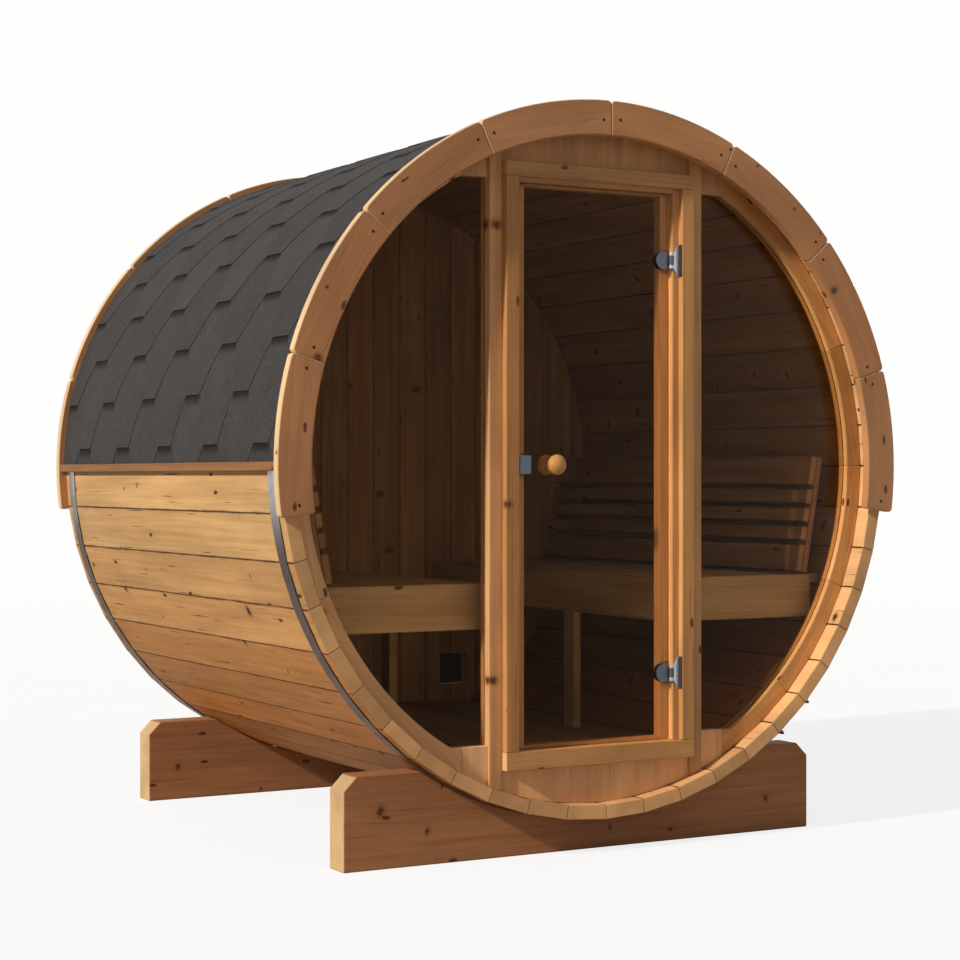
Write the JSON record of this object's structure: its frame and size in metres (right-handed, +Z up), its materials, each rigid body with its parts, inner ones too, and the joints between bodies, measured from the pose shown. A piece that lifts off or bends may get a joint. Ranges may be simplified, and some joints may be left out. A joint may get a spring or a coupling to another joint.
{
  "type": "barrel sauna",
  "caption": "Barrel-shaped timber sauna on cradles: stave shell, shingle roof, glazed front with a glass door, floor, benches and backrests.",
  "frame": {"origin": "on the ground under the middle of the barrel", "axes": "+Z up, +Y along the barrel from the door to the back wall, +X to the right seen from the front"},
  "size_m": [1.946, 1.6986, 2.0139],
  "materials": {
    "stave_wood": "oiled",
    "fascia_wood": "oiled",
    "cradle_wood": "oiled",
    "frame_wood": "oiled",
    "inner_wood": "bare",
    "knob_wood": "bare",
    "shingle": "mineral granules",
    "band_steel": "satin",
    "hinge_metal": "satin",
    "vent_plastic": "matt",
    "side_glass": "tinted",
    "door_glass": "tinted"
  },
  "bodies": {
    "cabin": {"staves_1": "stave_wood", "staves_2": "stave_wood", "staves_3": "stave_wood", "staves_4": "stave_wood", "staves_5": "stave_wood", "staves_6": "stave_wood", "staves_7": "stave_wood", "staves_8": "stave_wood", "cradle_front": "cradle_wood", "cradle_back": "cradle_wood", "band_front": "band_steel", "band_back": "band_steel", "fascia_front": "fascia_wood", "fascia_back": "fascia_wood", "roof_shingles_left": "shingle", "roof_shingles_right": "shingle", "roof_ridge": "shingle", "eave_battens": "fascia_wood", "front_ring_right": "frame_wood", "front_ring_left": "frame_wood", "front_infill_top": "frame_wood", "front_infill_bottom": "frame_wood", "mullion_right": "frame_wood", "mullion_left": "frame_wood", "door_jamb_right": "frame_wood", "door_jamb_left": "frame_wood", "door_head": "frame_wood", "door_sill": "frame_wood", "door_stops": "frame_wood", "side_glass": "side_glass", "hinge_wall_plates": "hinge_metal", "back_wall_boards": "stave_wood", "back_vent": "vent_plastic", "floor_boards": "inner_wood", "floor_bearers": "inner_wood", "bench_seat_right": "inner_wood", "bench_seat_left": "inner_wood", "bench_frame_right": "inner_wood", "bench_frame_left": "inner_wood", "backrest_right": "inner_wood", "backrest_left": "inner_wood"},
    "door": {"door_glass": "door_glass", "door_hinge_upper": "hinge_metal", "door_hinge_lower": "hinge_metal", "door_knob": "knob_wood", "door_latch_plate": "hinge_metal"}
  },
  "joints": [
    {"name": "door_hinge", "type": "hinge", "parent": "cabin", "child": "door", "pos_m": [0.2322, -0.7883, 1.041], "axis": [0, 0, 1], "range_deg": [0, 90]}
  ]
}
